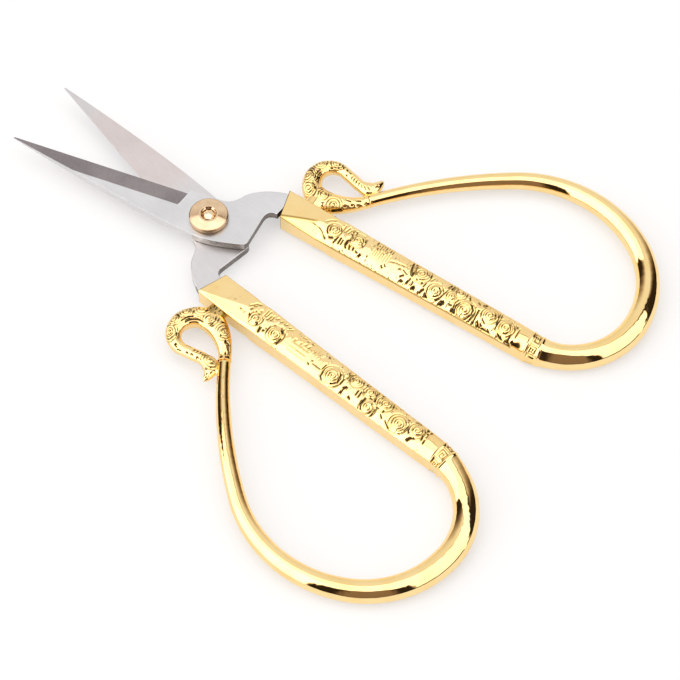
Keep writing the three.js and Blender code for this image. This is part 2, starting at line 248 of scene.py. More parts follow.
half_opening = math.radians(REST_OPENING / 2)
across_edge = half_opening + math.atan2(EDGE_RISE, EDGE_RUN) + math.pi / 2
BLADE_STEELS = {}
for half, hand in (("upper", 1), ("lower", -1)):
    BLADE_STEELS[half] = [
        steel_finish(f"{half}_flat_steel", hand * half_opening, *FLAT),
        steel_finish(f"{half}_bevel_steel", hand * across_edge, *BEVEL),
        steel_finish(f"{half}_inner_steel", hand * half_opening, *INNER, WARM_REFLECTION_PATCH),
        steel_finish(f"{half}_sheared_steel", hand * half_opening, *SHEARED, NECK_SHADE_PATCH),
        steel_finish(f"{half}_spine_steel", hand * half_opening, *SPINE),
    ]
print("steels", [steel.name for steels in BLADE_STEELS.values() for steel in steels])

# %% [markdown]
# ## Brass
# The washers come off a lathe, so their grain runs in circles around the pivot axis. The distance
# from the axis drives a noise texture, which gives rings of uneven width, as a turning tool leaves.
# Towards the rim the brass is darker.

# %% Brass finishes
TURNED = ((0.84, 0.62, 0.40, 1), (0.76, 0.53, 0.33, 1), 0.1, 0.15)
HAMMERED = ((0.90, 0.76, 0.55, 1), (0.80, 0.62, 0.40, 1), 0.14, 0.05)
RIM_BRASS = (0.52, 0.34, 0.19, 1)
RIM_EDGES = (0.0043, 0.00475)
TURNING_SCALE = 9000.0
TURNING_HEIGHT = 0.00004
TURNING_ROUGHNESS = 0.08
SMUDGE_SCALE = 500.0


def brass_finish(name, light, dark, roughness, ring_depth):
    finish, wire = new_finish(name)
    spot = wire.node("ShaderNodeTexCoord", output="Object")
    level = wire.node("ShaderNodeVectorMath", {"operation": "MULTIPLY"}, {0: spot, 1: (1, 1, 0)})
    radius = wire.node("ShaderNodeVectorMath", {"operation": "LENGTH"}, {0: level}, "Value")
    rings = wire.node("ShaderNodeTexNoise", {"noise_dimensions": "1D"}, {"W": radius, "Scale": TURNING_SCALE})
    smudge = noise(wire, spot, SMUDGE_SCALE, detail=2.0).soft_step(*TONE_EDGES)
    colour = radius.soft_step(*RIM_EDGES).mix(smudge.mix(light, dark), RIM_BRASS)
    normal = bump(wire, ring_depth, TURNING_HEIGHT, rings)
    metal(wire, colour, roughness + rings * TURNING_ROUGHNESS, normal)
    return finish


brass = brass_finish("turned_brass", *TURNED)
hammered_brass = brass_finish("hammered_brass", *HAMMERED)
print("finishes", brass.name, hammered_brass.name)

# %% [markdown]
# ## Finishing a piece
# Every mesh ends in the same way: doubles merged, faces pointing outwards, its place put into the
# mesh, and then it rides on its CAD body and stands for its CAD node.

# %% Piece helper
BODIES = {"upper": "upper_half", "lower": "lower_half"}
WELD = 0.0005


def new_object(bm, name, *finishes):
    mesh = bpy.data.meshes.new(name)
    bm.to_mesh(mesh)
    bm.free()
    for finish in finishes:
        mesh.materials.append(finish)
    made = bpy.data.objects.new(name, mesh)
    bpy.context.scene.collection.objects.link(made)
    return made


def add_piece(bm, name, place, body, node, slot, *finishes):
    bmesh.ops.remove_doubles(bm, verts=bm.verts, dist=WELD)
    bmesh.ops.recalc_face_normals(bm, faces=bm.faces)
    bmesh.ops.transform(bm, matrix=place, verts=bm.verts)
    piece = new_object(bm, name, *finishes)
    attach(piece, body)
    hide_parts(node)
    print(name, len(piece.data.polygons), "faces")


def add_casting(bm, half, name):
    node = f"{half}_handle"
    add_piece(bm, f"{half}_{name}", PLACES[half], BODIES[half], node, "gilt_casting", gilt)


# %% [markdown]
# ## Blades
# A blade is a flat plate with a long bevel ground along its cutting edge. The plate starts as one
# face inside its outline, whose round stretches are Bezier curves, and is extruded to its thickness.
# The bevel is cut as a grinder cuts it: the top face is split along the bevel's border, and the
# points on the edge's side sink onto the bevel's plane.

# %% Outline of a blade
PLATE_LOW = 0.075
PLATE_THICKNESS = 2.2
TIP = Vector((54.7, -0.4))
TIP_BACK = Vector((54.7, 0))
SPINE_BEND = Vector((17, 6))
SPINE_TOP = Vector((0, 6))
SPINE_END = Vector((-3.4, 6))
SHOULDER_TOP = Vector((-10.57, 3.29))
SHOULDER = Vector((-11.6, 2.9))
SHOULDER_SIDE = Vector((-11.6, 1.7))
NECK_INSIDE = Vector((-11.6, -5.9))
NECK_CORNER = Vector((-11.6, -8.3))
SEAT_INSIDE = Vector((-14.2, -8.3))
SEAT_OUTSIDE = Vector((-15.5, -14.9))
NECK_SWELL = Vector((-11.4, -14.9))
NECK_PULL = Vector((-6, -12))
NECK_WAIST = Vector((-4.6, -9.4))
HEEL_PULL = Vector((-3.2, -6.2))
HEEL = Vector((-0.6, -5.9))


def curve(*pulls, steps=10):
    points = []
    for step in range(1, steps + 1):
        level = list(pulls)
        while len(level) > 1:
            level = [first.lerp(second, step / steps) for first, second in zip(level, level[1:])]
        points.extend(level)
    return points


outline = [
    TIP,
    TIP_BACK,
    *curve(TIP_BACK, SPINE_BEND, SPINE_TOP, steps=24),
    *curve(SPINE_TOP, SPINE_END, SHOULDER_TOP),
    *curve(SHOULDER_TOP, SHOULDER, SHOULDER_SIDE, steps=6),
    NECK_INSIDE,
    *curve(NECK_INSIDE, NECK_CORNER, SEAT_INSIDE, steps=8),
    SEAT_OUTSIDE,
    *curve(SEAT_OUTSIDE, NECK_SWELL, NECK_PULL, NECK_WAIST, steps=16),
    *curve(NECK_WAIST, HEEL_PULL, HEEL, steps=8),
]
print("blade outline of", len(outline), "points")

# %% Blade
BEVEL_WIDTH = 5.0
BEVEL_START = 8.3
BEVEL_SKEW = math.radians(13)
END_WALL = 0.3
EDGE_THICKNESS = 0.15
EDGE_ROUND = 0.15
DARK_WALLS_END = 2.0
RIM_ANGLE = math.radians(60)
BEVEL_TILTS = (math.radians(12), math.radians(35))
INNER_TILT = math.radians(135)
FLAT_TILT = math.radians(5)
BEVEL_AREA = 1.0
BEVEL_STEEL, INNER_STEEL, SHEARED_STEEL, SPINE_STEEL = 1, 2, 3, 4
run = (TIP - HEEL).normalized()
inward = Vector((-run.y, run.x))
end_wall_run = (run * math.cos(BEVEL_SKEW) - inward * math.sin(BEVEL_SKEW)).normalized()


def split_top(bm, top, point, normal):
    faces = [face for face in bm.faces if all(abs(vert.co.z - top) < WELD for vert in face.verts)]
    edges = {edge for face in faces for edge in face.edges}
    verts = {vert for face in faces for vert in face.verts}
    cut = [*faces, *edges, *verts]
    place = (point.x, point.y, top)
    bmesh.ops.bisect_plane(bm, geom=cut, plane_co=place, plane_no=(normal.x, normal.y, 0), dist=WELD)


def blade(half):
    bm = bmesh.new()
    verts = [bm.verts.new((point.x, point.y, PLATE_LOW)) for point in outline]
    sheet = bm.faces.new(verts)
    grown = bmesh.ops.extrude_face_region(bm, geom=[sheet])["geom"]
    raised = [item for item in grown if isinstance(item, bmesh.types.BMVert)]
    bmesh.ops.translate(bm, verts=raised, vec=(0, 0, PLATE_THICKNESS))
    top = PLATE_LOW + PLATE_THICKNESS
    wall_top = HEEL + run * BEVEL_START
    wall_foot = wall_top + run * END_WALL
    split_top(bm, top, HEEL + inward * BEVEL_WIDTH, inward)
    split_top(bm, top, wall_top, end_wall_run)
    split_top(bm, top, wall_foot, end_wall_run)
    slope = (PLATE_THICKNESS - EDGE_THICKNESS) / BEVEL_WIDTH
    for vert in bm.verts:
        flat_place = vert.co.xy
        deep = BEVEL_WIDTH - inward.dot(flat_place - HEEL)
        ground = end_wall_run.dot(flat_place - wall_foot) > -WELD
        if abs(vert.co.z - top) < WELD and deep > WELD and ground:
            vert.co.z = top - deep * slope
    bmesh.ops.recalc_face_normals(bm, faces=bm.faces)
    rims = [edge for edge in bm.edges if edge.calc_face_angle(0) > RIM_ANGLE]
    keen = [edge for edge in rims if min(vert.co.z for vert in edge.verts) > top - WELD]
    low_rims = [edge for edge in rims if max(vert.co.z for vert in edge.verts) < PLATE_LOW + WELD]
    keen += [edge for edge in low_rims if min(vert.co.x for vert in edge.verts) < HEEL.x - WELD]
    bmesh.ops.bevel(
        bm, geom=keen, offset=EDGE_ROUND, affect="EDGES", segments=3, profile=0.5, material=-1
    )
    for face in bm.faces:
        tilt = face.normal.angle(Vector((0, 0, 1)), 0)
        on_neck = face.calc_center_median().x < DARK_WALLS_END
        if BEVEL_TILTS[0] < tilt < BEVEL_TILTS[1] and face.calc_area() > BEVEL_AREA:
            face.material_index = BEVEL_STEEL
        elif tilt > INNER_TILT:
            face.material_index = INNER_STEEL
        elif tilt > RIM_ANGLE and on_neck:
            face.material_index = SHEARED_STEEL
        elif tilt > FLAT_TILT and not on_neck:
            face.material_index = SPINE_STEEL
    name, node = f"{half}_ground_blade", f"{half}_blade"
    add_piece(bm, name, PLACES[half], BODIES[half], node, "blade_steel", *BLADE_STEELS[half])


for half in PLACES:
    blade(half)

# %% [markdown]
# ## Handles
# A handle is one casting: a faceted ferrule, a crowned shank with relief on both faces, a finger
# loop of smooth tapering rod, and a scroll. All of it follows a centre line of straight legs and
# arcs, so first comes a walk along such legs, which knows the place and heading at any distance.

# %% Centre line
FERRULE_FACE = Vector((-14.57, -11.68))
SHANK_HEADING = 173.1
SHANK_LENGTH = 69.1
LOOP_ARCS = [(18.1, 90.7), (24.3, 57.3), (31.1, 66.3), (113, 18.4)]


def leg_length(size, turn):
    return size * math.radians(abs(turn)) if turn else size


def step_on(place, heading, size, turn, distance):
    ahead = Vector((math.cos(heading), math.sin(heading)))
    if not turn:
        return place + ahead * distance, heading
    side = math.copysign(size, turn)
    left = Vector((-ahead.y, ahead.x))
    swung = heading + distance / side
    return place + left * side + Vector((math.sin(swung), -math.cos(swung))) * side, swung


def walk(place, heading, legs, distance):
    for size, turn in legs[:-1]:
        length = leg_length(size, turn)
        if distance <= length:
            return step_on(place, heading, size, turn, distance)
        place, heading = step_on(place, heading, size, turn, length)
        distance -= length
    return step_on(place, heading, *legs[-1], distance)


rod_legs = [(SHANK_LENGTH, 0), *LOOP_ARCS]
rod_marks = np.cumsum([leg_length(*leg) for leg in rod_legs])
rod_heading = math.radians(SHANK_HEADING)
print("rod of", round(rod_marks[-1], 1), "mm")

# %% [markdown]
# The skin of a rod is a grid that is rolled up: one row of points per station along the centre line
# and one column per direction around it. The first and last column meet and are merged, and the two
# ends are filled. A grid can be as fine as the relief needs, and each point knows its distance along
# the rod and its place around the section, which is what the relief is drawn in.

# %% Rolled grid
QUARTER_STEPS = 30
turns = np.linspace(0, 4, 4 * QUARTER_STEPS + 1)
quadrant = np.minimum(turns.astype(int), 3)
climb = np.where(quadrant % 2 == 0, turns - quadrant, quadrant + 1 - turns)
side_sign = np.where((quadrant == 0) | (quadrant == 3), 1, -1)
up_sign = np.where(quadrant < 2, 1, -1)


def smooth(value, low, high):
    t = np.clip((value - low) / (high - low), 0, 1)
    return t * t * (3 - 2 * t)


def within(value, start, full, fading, end):
    return smooth(value, start, full) * (1 - smooth(value, fading, end))


def blend(first, second, share):
    return first + (second - first) * share


def roll(bm, places, headings, across, up, ahead, hollow_and_shade):
    layer = bm.verts.layers.float.get("hollow_and_shade") or bm.verts.layers.float.new("hollow_and_shade")
    rows, columns = across.shape
    made = bmesh.ops.create_grid(bm, x_segments=columns - 1, y_segments=rows - 1, size=1)
    cosines, sines = np.cos(headings)[:, None], np.sin(headings)[:, None]
    x = places[:, :1] + cosines * ahead - sines * across
    y = places[:, 1:] + sines * ahead + cosines * across
    points = np.stack([x, y, up], -1).reshape(-1, 3)
    for vert, point, shade in zip(made["verts"], points, hollow_and_shade.ravel()):
        vert.co = point
        vert[layer] = shade
    bmesh.ops.remove_doubles(bm, verts=made["verts"], dist=WELD)
    rims = [edge for edge in bm.edges if edge.is_boundary]
    bmesh.ops.holes_fill(bm, edges=rims, sides=0)
    for face in bm.faces:
        face.smooth = len(face.verts) == 4


def stations(place, heading, legs, distances):
    walked = [walk(place, heading, legs, distance) for distance in distances]
    return np.array([tuple(spot) for spot, _ in walked]), np.array([angle for _, angle in walked])


print("section of", len(turns) - 1, "points")

# %% [markdown]
# The section changes along the rod. At the ferrule it has upright walls, two sloping facets and a
# flat top that narrows to a point. Then the top swells into a crown, and past the shank the section
# is round. Each of the three is a formula over the same points, and they are blended along the way.

# %% Section
WALL_STEPS = 4
WALL_SHARE = WALL_STEPS / QUARTER_STEPS
ROUNDING = 2
CRISP_SHARE = 0.1
RIDGE_CROWDING = 1.8
RIDGE_SHIFT = 0.7
UNEVEN_SEED = 3
UNEVEN_PASSES = 3


def section(width, height, wall, flat, crowned, rounded, lean=0):
    on_wall = np.clip(climb / WALL_SHARE, 0, 1)
    rise = np.clip((climb - WALL_SHARE) / (1 - WALL_SHARE), 0, 1)
    beyond = np.sign(2 * rise - 1) * np.abs(2 * rise - 1) ** RIDGE_CROWDING
    slope, level = np.clip(1 + beyond, 0, 1), np.clip(beyond, 0, 1)
    facet_across = blend(width, flat, slope) * (1 - level) / 2
    facet_up = blend(wall, height, slope) / 2
    crown_across = width * np.cos(rise * TAU / 4) / 2
    crown_up = blend(wall, height, np.sin(rise * TAU / 4)) / 2
    across = blend(facet_across, crown_across, crowned)
    up = blend(facet_up, crown_up, crowned) * on_wall
    across = side_sign * blend(across, width * np.cos(climb * TAU / 4) / 2, rounded)
    leaning = blend(slope, np.sin(rise * TAU / 4), crowned) * lean
    across = across + up_sign * leaning * (1 - rounded)
    up = up_sign * blend(up, height * np.sin(climb * TAU / 4) / 2, rounded)
    for _ in range(ROUNDING):
        across = blend(across, soften(across), np.maximum(crowned, CRISP_SHARE))
        up = blend(up, soften(up), np.maximum(crowned, CRISP_SHARE))
    return across, up


def neighbours(ring):
    before = np.concatenate([ring[:, -2:-1], ring[:, :-1]], 1)
    after = np.concatenate([ring[:, 1:], ring[:, 1:2]], 1)
    return before, after


def soften(ring):
    before, after = neighbours(ring)
    return (before + 2 * ring + after) / 4


def uneven(shape):
    bumps = np.random.default_rng(UNEVEN_SEED).normal(size=shape)
    for _ in range(UNEVEN_PASSES):
        bumps = soften(soften(bumps).T).T
    return bumps / bumps.std()


def push_out(across, up, height):
    before_across, after_across = neighbours(across)
    before_up, after_up = neighbours(up)
    step_across, step_up = after_across - before_across, after_up - before_up
    length = np.hypot(step_across, step_up)
    return across + height * step_up / length, up - height * step_across / length


print("section formulas ready")

# %% [markdown]
# ## Relief
# The relief is the old cloud pattern: round bosses with a spiral cut into each, and lines around them
# that follow their rims like ripples. Between them are deeper strokes and pits. A boss
# needs only a centre, a radius and a hand, and the ripples come from the distance to the nearest one.
# A stroke is the distance to a short straight line. A hatched panel and a key fret between two raised
# rings complete it. All are formulas for how deep a point lies, from 0 on the surface to 1 in a
# groove, and for how high the bosses raise it. The gilt darkens deep places as painted shade, and
# dark lines painted along the crease and the ferrule's ridge stand in for shade and dark reflection.

# %% Relief patterns
LINE = 0.66
SPIRAL_SHARE = 0.85
FAINT_SHARE = 0.5
RIPPLES = 1
BROADER = 0.06
FAR_SHARE = 0.85
FAR_STROKE_SHARE = 0.7
GROOVE_POWER = 1.3
LINE_WIDTH = 0.14
BOSS_EDGES = (-0.5, 0.3)
FRET_STRETCH = 1.15


def groove(distance, pitch=LINE):
    return (0.5 + 0.5 * np.cos(TAU * distance / pitch)) ** GROOVE_POWER


def line(distance, width=LINE_WIDTH):
    return np.exp(-((distance / width) ** 2))


def clouds(along, aside, bosses, count=RIPPLES):
    deep, nearest = np.zeros_like(along), np.full_like(along, np.inf)
    for place, middle, radius, hand in bosses:
        angle = np.arctan2(aside - middle, along - place)
        reach = np.hypot(aside - middle, along - place)
        wound = groove(reach - hand * LINE * angle / TAU)
        ripples = groove(reach - radius) * (1 - smooth(reach - radius, count * LINE, (count + 1) * LINE))
        mark = np.where(reach < radius, wound, ripples) * blend(FAINT_SHARE, 1, np.cos(angle) ** 2)
        deep = np.where(reach - radius < nearest, mark, deep)
        nearest = np.minimum(nearest, reach - radius)
    return deep * SPIRAL_SHARE, 1 - smooth(nearest, *BOSS_EDGES)


def strokes(along, aside, marks):
    deep = np.zeros_like(along)
    for start, start_aside, end, end_aside, width in marks:
        run, rise = end - start, end_aside - start_aside
        share = ((along - start) * run + (aside - start_aside) * rise) / max(run**2 + rise**2, WELD)
        share = np.clip(share, 0, 1)
        off = np.hypot(along - start - share * run, aside - start_aside - share * rise)
        deep = np.maximum(deep, line(off, width + BROADER))
    return deep


def both_faces(above, along, aside, bosses, marks, count=RIPPLES):
    deep, raised = np.where(above, *[np.stack(clouds(along, aside, face, count)) for face in bosses])
    return deep, raised, np.where(above, *[strokes(along, aside, face) for face in marks])


def key_fret(along, around, middle, cell):
    over = np.mod(around, cell) - cell / 2
    ahead = along - middle
    reach = np.maximum(np.abs(over), np.abs(ahead) * FRET_STRETCH)
    return groove(reach - LINE * np.arctan2(ahead, over) / TAU)


print("relief lines every", LINE, "mm")

# %% [markdown]
# Each face of the shank has its own bosses and strokes. A boss is given by its distance from the
# ferrule, its place across, its radius and the hand of its spiral. A stroke is given by its two ends
# and its width. The upper face of the casting shows on one half, the lower face on the other.

# %% Marks of the upper face
BOSSES_ABOVE = [
    (14.2, 0.4, 1.2, 1), (20.7, 0.9, 1.3, -1), (38.4, 1.5, 1.9, 1), (43.6, -0.8, 1.4, -1),
    (49.0, 2.0, 1.1, 1), (47.9, 0.1, 0.9, -1), (52.0, -1.4, 2.1, 1), (58.0, 0.6, 1.5, 1),
    (62.8, -0.3, 1.6, -1),
]
STROKES_ABOVE = [
    (8.6, -0.9, 10.6, -0.9, 0.1), (10.6, -0.9, 11.8, -1.5, 0.11), (11.8, -1.5, 13.1, -2.5, 0.12),
    (13.0, -2.4, 13.3, -2.6, 0.22), (11.2, 1.1, 11.9, 2.1, 0.12), (11.9, 2.1, 12.9, 2.7, 0.15),
    (12.8, 2.6, 13.0, 2.8, 0.24), (12.9, 1.3, 12.4, 0.3, 0.11), (12.4, 0.3, 12.7, -0.6, 0.11),
    (12.7, -0.6, 13.3, -1.2, 0.11), (14.1, -1.9, 14.9, -1.7, 0.28),
    (16.0, 2.8, 16.1, 1.2, 0.13), (16.8, 1.2, 17.2, 2.8, 0.2), (17.6, 1.2, 17.9, 2.5, 0.16),
    (16.0, -0.9, 15.7, -2.6, 0.17), (16.8, -0.7, 16.8, -2.2, 0.2), (17.5, -0.9, 17.5, -2.2, 0.14),
    (18.5, 2.9, 18.6, 1.6, 0.18), (18.6, 1.6, 19.2, 0.7, 0.15), (19.3, 2.9, 19.5, 1.9, 0.16),
    (19.0, 0.0, 18.5, -0.5, 0.26), (18.5, -0.5, 18.5, -1.6, 0.32), (18.5, -1.6, 18.9, -2.2, 0.26),
    (19.6, -1.4, 19.9, -2.1, 0.22), (20.7, -1.3, 20.8, -1.9, 0.2), (21.8, -1.9, 22.0, -1.9, 0.26),
    (22.9, -2.6, 23.1, -2.0, 0.2), (21.6, 0.9, 22.6, -0.1, 0.1), (24.7, -1.7, 24.7, -1.4, 0.13),
    (29.1, -2.0, 29.3, -2.1, 0.2), (29.5, -1.2, 29.8, -1.5, 0.15), (33.0, -0.5, 33.4, -0.2, 0.14),
    (33.6, 1.0, 33.8, 0.8, 0.12), (35.5, 2.9, 35.7, 1.6, 0.15), (35.7, 1.6, 36.8, -0.2, 0.15),
    (36.6, 2.8, 36.7, 1.7, 0.16), (36.7, 1.7, 37.4, 0.4, 0.11), (34.9, -2.8, 35.4, -2.5, 0.2),
    (36.5, -2.6, 36.8, -1.1, 0.15), (37.7, -2.4, 37.8, -1.5, 0.14), (38.2, -0.5, 38.3, -0.5, 0.2),
    (38.4, -2.9, 38.7, -2.4, 0.28), (39.7, -0.8, 39.9, -0.6, 0.2), (40.4, -2.9, 41.0, -1.8, 0.16),
    (40.5, -1.3, 40.6, -0.4, 0.13), (41.6, -1.1, 41.9, -2.2, 0.14), (42.0, -2.7, 42.3, -3.0, 0.28),
    (41.4, 1.0, 41.8, 2.2, 0.15), (46.3, 2.8, 45.9, 0.2, 0.13), (45.9, 0.2, 45.4, -1.5, 0.12),
    (47.0, 2.8, 46.9, 1.7, 0.2), (45.4, -1.9, 44.8, -2.7, 0.16), (46.2, -2.4, 46.8, -2.1, 0.24),
    (46.4, -3.0, 46.7, -2.6, 0.28), (48.2, -2.0, 48.7, -1.8, 0.22), (49.4, -1.5, 49.5, -3.0, 0.2),
    (50.2, -0.4, 49.8, -1.6, 0.15), (49.8, -1.6, 50.2, -3.1, 0.16), (53.0, 0.7, 53.9, -0.4, 0.17),
    (53.9, -0.4, 54.1, -1.6, 0.17), (51.5, 2.6, 52.0, 1.5, 0.12), (54.6, -0.6, 54.3, -3.2, 0.13),
    (55.0, 0.4, 55.4, -3.2, 0.16), (54.2, 2.2, 54.6, 1.8, 0.16), (55.7, 2.0, 56.2, 2.7, 0.2),
    (57.0, -1.2, 57.8, -1.7, 0.17), (56.4, -2.4, 56.8, -2.9, 0.26), (58.0, -3.0, 58.8, -3.1, 0.32),
    (59.5, -2.9, 59.7, -3.0, 0.28), (60.0, 2.2, 60.4, -0.6, 0.12), (60.6, 2.2, 60.7, -1.8, 0.12),
    (62.0, -2.4, 63.0, -2.9, 0.2), (62.9, -2.6, 63.4, -3.1, 0.18), (64.8, -1.6, 64.8, -2.8, 0.2),
    (65.0, -2.9, 65.5, -3.1, 0.24), (65.0, 1.6, 65.4, 1.1, 0.16), (65.9, 1.2, 66.0, -1.2, 0.12),
    (57.2, -2.4, 57.5, -2.6, 0.22), (56.8, -3.1, 60.0, -3.15, 0.2), (62.2, -2.6, 63.4, -3.1, 0.24),
    (64.4, -2.9, 65.6, -3.1, 0.22), (46.0, -3.0, 46.8, -2.4, 0.24), (49.7, -2.5, 49.9, -3.1, 0.24),
    (41.9, -2.6, 42.5, -3.0, 0.24), (38.3, -2.6, 38.8, -2.9, 0.22), (30.2, 0.1, 31.5, 0.6, 0.1),
    (31.5, 0.6, 33.5, 0.9, 0.1), (34.3, -2.0, 35.0, -1.2, 0.1), (34.2, 0.0, 35.5, -0.6, 0.1),
]
print(len(BOSSES_ABOVE), "bosses and", len(STROKES_ABOVE), "strokes above")

# %% Marks of the lower face
BOSSES_BELOW = [
    (14.4, 0.7, 1.1, -1), (20.7, 1.0, 1.6, 1), (38.3, 0.8, 2.0, -1), (43.6, -1.9, 1.1, 1),
    (49.7, 1.8, 1.5, 1), (47.9, -1.6, 1.1, -1), (52.5, -1.6, 1.4, -1), (58.0, 0.5, 1.8, 1),
    (62.5, -0.8, 1.3, -1),
]
STROKES_BELOW = [
    (11.2, -1.3, 12.0, -2.5, 0.2), (12.0, -2.5, 13.0, -3.0, 0.26), (11.9, -0.6, 12.0, -1.1, 0.2),
    (11.9, -1.7, 12.4, -2.0, 0.2), (12.4, 0.6, 12.6, 0.8, 0.24), (9.5, 0.7, 11.0, 0.9, 0.1),
    (32.6, 1.2, 34.8, 1.2, 0.1), (35.2, 0.9, 35.3, -0.5, 0.12),
    (14.2, -0.8, 14.3, -0.8, 0.24), (14.2, -1.6, 14.3, -1.6, 0.27), (13.2, -0.9, 13.2, -1.0, 0.18),
    (16.9, 2.8, 16.7, 1.8, 0.3), (15.5, 1.9, 15.6, 1.4, 0.18), (15.5, -1.3, 15.4, -3.0, 0.12),
    (16.1, -1.3, 16.1, -3.0, 0.14), (16.8, -0.9, 16.9, -2.2, 0.23), (17.6, -1.2, 17.5, -2.4, 0.17),
    (17.7, 2.1, 18.0, 1.8, 0.16), (18.0, 1.1, 18.1, 1.1, 0.17), (22.4, 2.6, 22.6, 1.0, 0.2),
    (22.0, -0.4, 20.9, -1.4, 0.24), (19.1, -0.8, 19.3, -0.9, 0.24), (18.6, 1.9, 18.5, 0.1, 0.13),
    (18.6, -2.4, 18.7, -2.8, 0.18), (19.8, -2.4, 19.9, -2.9, 0.18), (21.2, -2.6, 21.3, -2.9, 0.18),
    (22.4, -2.6, 22.5, -2.8, 0.18), (22.4, -1.8, 23.3, -2.6, 0.15), (31.6, 1.8, 31.7, 1.8, 0.2),
    (31.9, 0.7, 32.1, 0.7, 0.14), (25.3, -0.9, 25.4, -1.0, 0.16), (27.0, -1.0, 27.1, -1.1, 0.15),
    (28.3, -1.6, 28.3, -1.3, 0.15), (29.3, -1.7, 29.3, -1.3, 0.16), (26.8, -2.8, 27.2, -2.9, 0.15),
    (28.2, -2.7, 28.3, -2.7, 0.15), (29.5, -2.8, 29.6, -2.8, 0.15), (34.5, -2.7, 35.0, -2.4, 0.15),
    (36.6, 3.0, 36.2, 2.7, 0.15), (36.0, 2.6, 35.7, 1.2, 0.19), (40.2, 1.4, 39.6, -0.9, 0.18),
    (40.9, 1.2, 40.9, -0.2, 0.19), (41.4, -1.1, 41.4, -2.3, 0.33), (41.6, -2.5, 42.2, -3.1, 0.14),
    (42.4, 2.8, 42.3, 1.6, 0.18), (42.3, 1.6, 42.8, 0.9, 0.24), (44.7, 2.5, 44.8, 2.6, 0.27),
    (45.5, 1.1, 45.4, -0.1, 0.18), (46.3, 1.2, 46.2, -0.3, 0.18), (48.6, 3.0, 47.8, 2.2, 0.16),
    (47.8, 2.2, 47.9, 0.4, 0.26), (46.6, -0.7, 46.7, -0.7, 0.26), (48.8, -0.4, 49.2, -0.4, 0.22),
    (46.3, -2.7, 46.4, -2.8, 0.18), (50.2, -0.4, 49.6, -1.4, 0.2), (49.6, -1.4, 49.6, -2.9, 0.2),
    (51.4, 0.5, 51.9, 0.4, 0.16), (51.6, 2.8, 51.5, 1.2, 0.12), (53.9, 1.8, 53.4, 1.4, 0.2),
    (53.2, 0.6, 53.4, 0.2, 0.16), (54.5, -2.2, 54.6, -2.2, 0.18), (55.0, -2.4, 55.2, -2.3, 0.16),
    (56.7, 2.8, 55.2, 2.0, 0.15), (60.1, 1.2, 60.2, -0.4, 0.13), (59.3, -1.9, 59.6, -1.7, 0.2),
    (62.0, 2.5, 62.4, 1.6, 0.21), (62.4, 1.6, 63.1, 1.2, 0.21), (61.2, 0.8, 60.7, 0.2, 0.23),
    (61.5, -2.7, 62.2, -2.8, 0.21), (64.6, 0.4, 64.1, -1.0, 0.18), (64.1, -1.0, 64.6, -2.7, 0.18),
    (65.4, 0.9, 65.3, 0.1, 0.16), (65.2, -0.8, 65.1, -1.8, 0.18), (65.1, -1.8, 65.6, -2.7, 0.16),
]
print(len(BOSSES_BELOW), "bosses and", len(STROKES_BELOW), "strokes below")

# %% Relief of the shank
PANEL_FROM = 25.0
PANEL_TO = 30.2
PANEL_LINES = (-0.4, 0.8, 1.9)
HATCH_PITCH = 0.62
HATCH_SHARE = 0.45
HATCH_EDGES = (-2.2, 1.4)
FRAME_SHARE = 0.5
FRET_FROM = 69.4
FRET_TO = 72.3
CARVING_END = FRET_FROM - 3
FAR_EDGES = (0.3, 1.3)
RIM_MARGIN = (0.02, 0.3)
FRET_SPAN = (FRET_FROM + 0.3, FRET_FROM + 0.5, FRET_TO - 0.5, FRET_TO - 0.3)
FRET_CELLS = 7
FRET_SHARE = 0.72
SPIRAL_HEIGHT = 0.26
FERRULE_LENGTH = 10.8
EDGE_WIDTH = 0.4
CREASE_COLUMN = 2 * QUARTER_STEPS - WALL_STEPS
RIDGE_COLUMN = (3 * QUARTER_STEPS - WALL_STEPS) // 2
# Each painted dark line: (column, share, end). They stand in for shade along the crease and dark reflection
# along the ferrule's ridge.
EDGE_LINES = ((CREASE_COLUMN, 0.59, CARVING_END), (RIDGE_COLUMN, 0.66, 9.8))
EDGE_FADE = 0.6
# Painted shade on the ferrule's outer wall beside the web, where the scroll crowds it.
WEB_SIDE_SHADE = 0.3
WEB_SIDE_PLACE = 9
WEB_SIDE_LENGTH = 5
# Painted shade over the ferrule's face, where it is pressed against the blade.
SEAT_SHADE = 0.8
SEAT_LENGTH = 0.15


def shank_relief(along, across, up, width, around):
    above = up > 0
    bosses, strokes_of_faces = (BOSSES_ABOVE, BOSSES_BELOW), (STROKES_ABOVE, STROKES_BELOW)
    deep, raised, marks = both_faces(above, along, across, bosses, strokes_of_faces)
    far = smooth(across * np.sign(up), *FAR_EDGES)
    strength = blend(1, FAR_STROKE_SHARE, far)
    marks = marks * strength
    deep = np.maximum(deep * blend(1, FAR_SHARE, far), marks)
    hatch = groove(along, HATCH_PITCH) * HATCH_SHARE * smooth(across, *HATCH_EDGES) * strength
    frame_lines = np.max([line(across - middle) for middle in PANEL_LINES], axis=0) * FRAME_SHARE
    in_panel = (along > PANEL_FROM) & (along < PANEL_TO)
    deep = np.where(in_panel, np.maximum(np.where(above, hatch, frame_lines), marks), deep)
    rim = smooth(width / 2 - np.abs(across), *RIM_MARGIN)
    fret = key_fret(along, around, (FRET_FROM + FRET_TO) / 2, TAU * width / 2 / FRET_CELLS)
    on_shank = along < CARVING_END
    on_crown = climb > WALL_SHARE
    in_fret = within(along, *FRET_SPAN)
    hollow_and_shade = np.where(on_shank, deep * rim, fret * in_fret * on_crown * FRET_SHARE)
    return hollow_and_shade, raised * rim * on_shank


